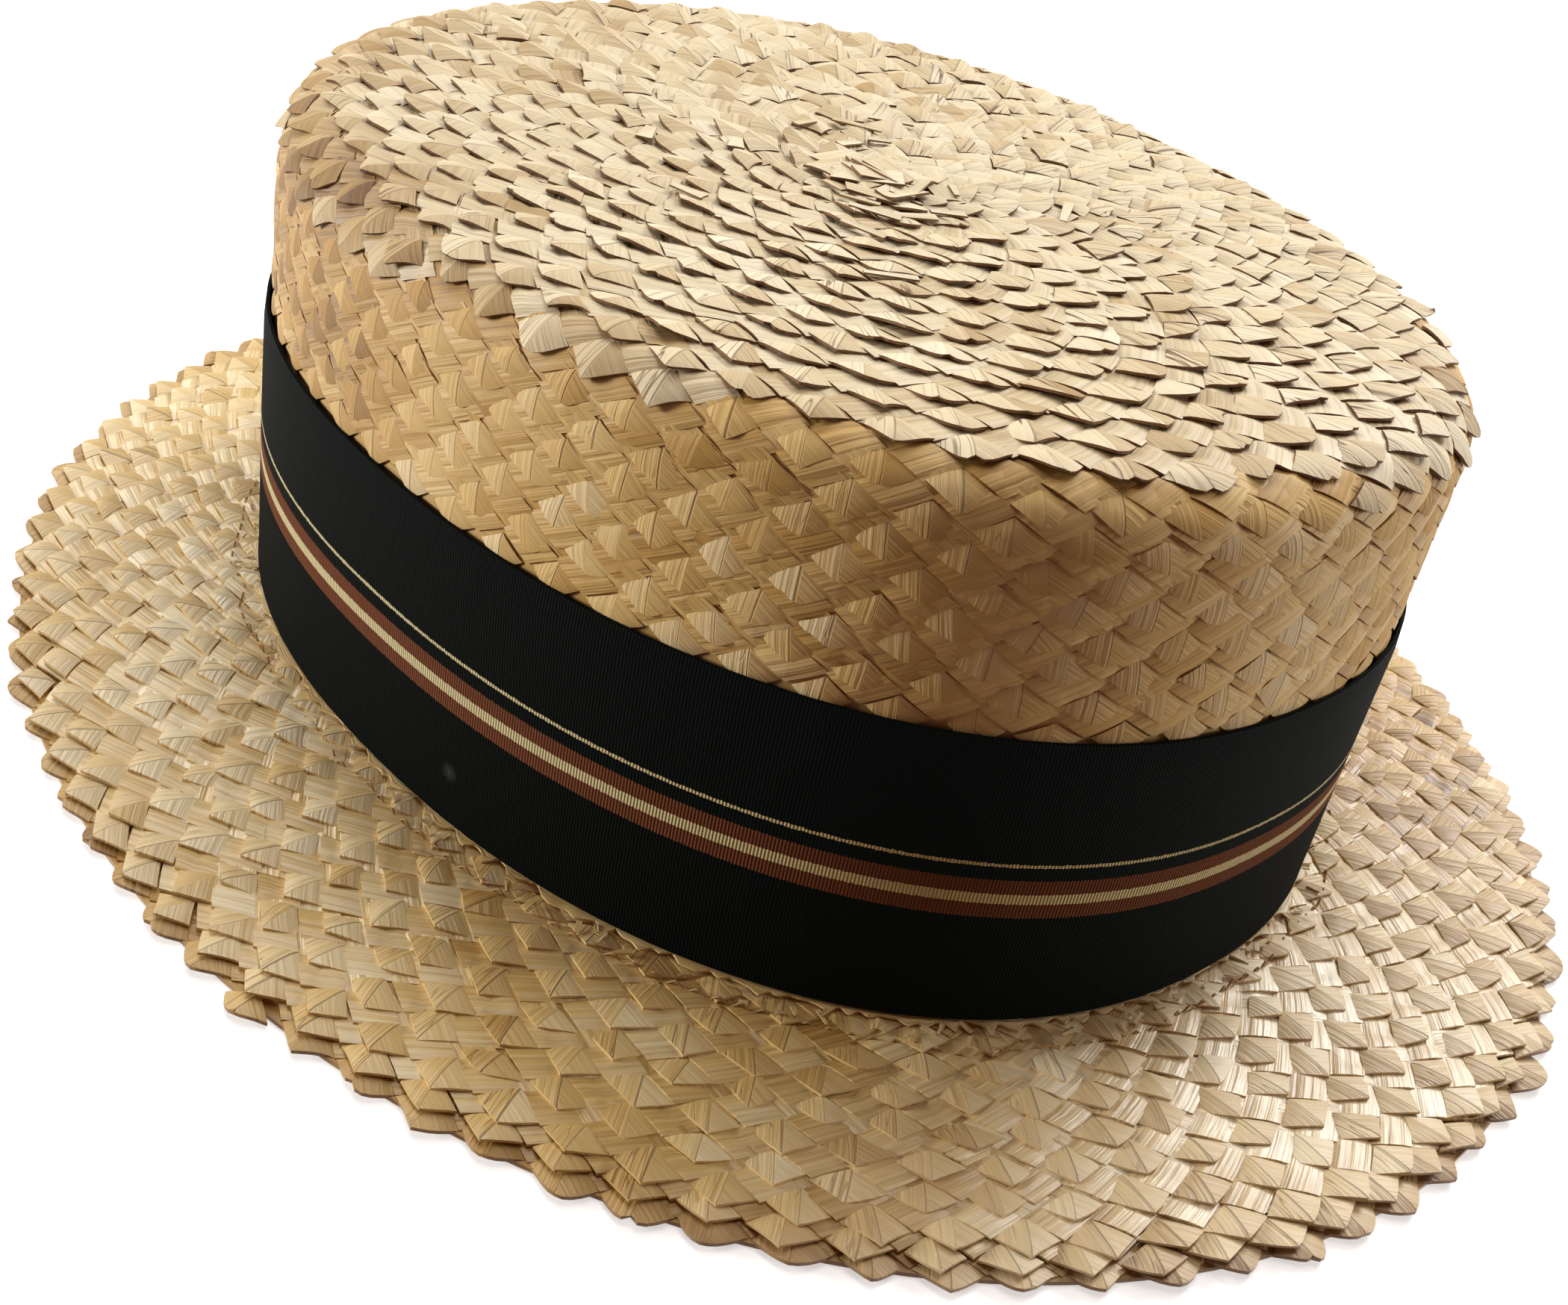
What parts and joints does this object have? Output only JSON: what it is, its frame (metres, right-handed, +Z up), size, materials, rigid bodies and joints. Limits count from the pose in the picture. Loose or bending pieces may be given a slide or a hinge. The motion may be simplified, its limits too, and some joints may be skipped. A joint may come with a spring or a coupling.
{
  "type": "straw boater hat",
  "caption": "Hard flat-topped straw boater hat with an oval crown, a flat stiff brim with a toothed edge and a black ribbon with a rust and cream stripe.",
  "frame": {"origin": "middle of the hat on the surface that the edge of the brim rests on", "axes": "+Z up through the tip of the crown, -Y towards the front of the hat, X across the head"},
  "size_m": [0.259, 0.296, 0.0885],
  "materials": {
    "crown_straw": "plaited sun-bleached straw braid, satin",
    "brim_straw": "plaited straw braid, satin",
    "ribbon": "ribbed black ribbon with woven stripes, matt"
  },
  "bodies": {
    "root": {"crown": "crown_straw", "brim": "brim_straw", "hat_band": "ribbon"}
  },
  "joints": []
}
